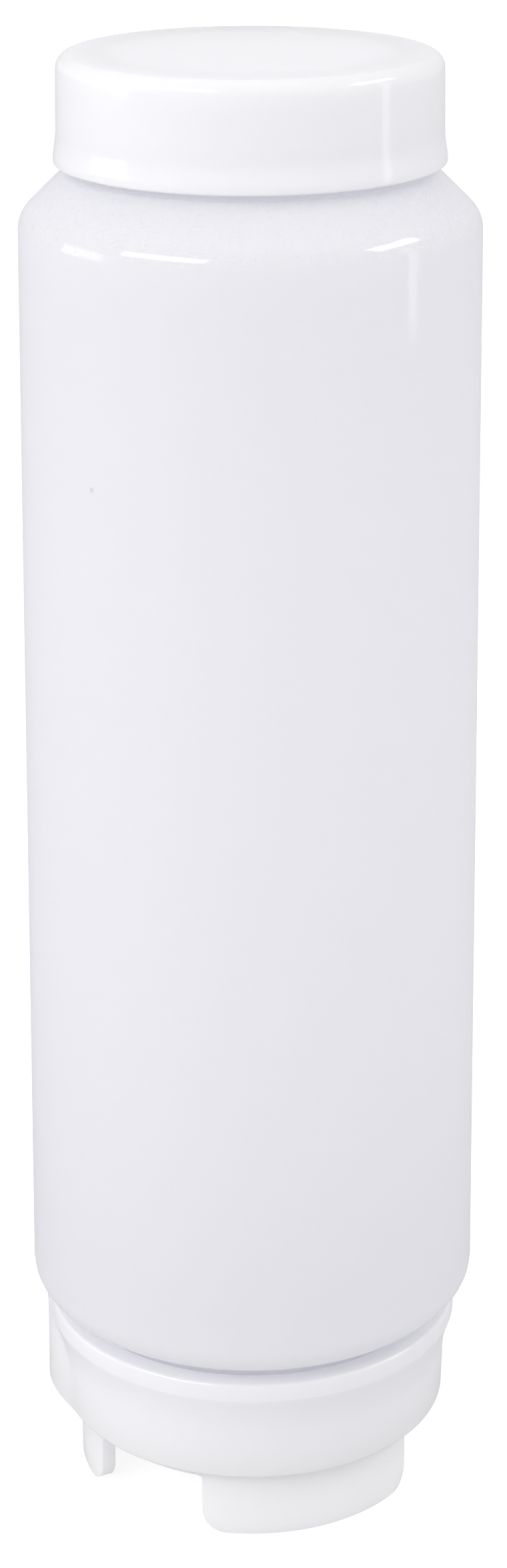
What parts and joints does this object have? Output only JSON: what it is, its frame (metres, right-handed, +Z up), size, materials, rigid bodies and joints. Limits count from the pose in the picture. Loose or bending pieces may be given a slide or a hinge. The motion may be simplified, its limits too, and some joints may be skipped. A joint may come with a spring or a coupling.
{
  "type": "dispensing sauce bottle with flip cap",
  "caption": "Inverted squeeze bottle with a threaded cap at each end; the lower cap holds a slit valve under a hinged flip cap with curved feet.",
  "frame": {"origin": "on the ground, on the bottle's axis, in the plane of the undersides of the feet", "axes": "+Z up along the bottle's axis towards the refill cap; the flip cap's hinge is on -X with its pin along Y, and the thumb lip is on +X"},
  "size_m": [0.073, 0.073, 0.238],
  "materials": {
    "body": "translucent soft polyethylene, satin",
    "cap": "opaque white polypropylene, smooth gloss",
    "silicone": "clear-white silicone, soft matt",
    "pin": "plain ground steel pin"
  },
  "bodies": {
    "dispensing_end": {"dispensing_cap": "cap", "portion_valve": "silicone", "valve_retainer": "cap", "hinge_pin": "pin"},
    "flip_cap": {"flip_cap": "cap"},
    "lower_seal": {"dispensing_cap_seal": "silicone"},
    "bottle": {"bottle_body": "body"},
    "upper_seal": {"refill_cap_seal": "silicone"},
    "refill_cap": {"refill_cap": "cap"}
  },
  "joints": [
    {"name": "flip_open", "type": "hinge", "parent": "dispensing_end", "child": "flip_cap", "pos_m": [-0.0319, 0, 0.01335], "axis": [0, 1, 0], "range_deg": [0, 170]},
    {"name": "bottle_rise", "type": "slide", "parent": "dispensing_end", "child": "lower_seal", "axis": [0, 0, 1], "range_m": [0, 0.01475]},
    {"name": "bottle_unscrew", "type": "hinge", "parent": "lower_seal", "child": "bottle", "pos_m": [0, 0, 0.015], "axis": [0, 0, 1], "range_deg": [0, 1260]},
    {"name": "refill_rise", "type": "slide", "parent": "bottle", "child": "upper_seal", "axis": [0, 0, 1], "range_m": [0, 0.01475]},
    {"name": "refill_unscrew", "type": "hinge", "parent": "upper_seal", "child": "refill_cap", "pos_m": [0, 0, 0.2346], "axis": [0, 0, 1], "range_deg": [0, 1260]}
  ],
  "couplings": [
    {"joint": "bottle_rise", "follows": "bottle_unscrew", "m_per_rad": 0.00066845},
    {"joint": "refill_rise", "follows": "refill_unscrew", "m_per_rad": 0.00066845}
  ]
}
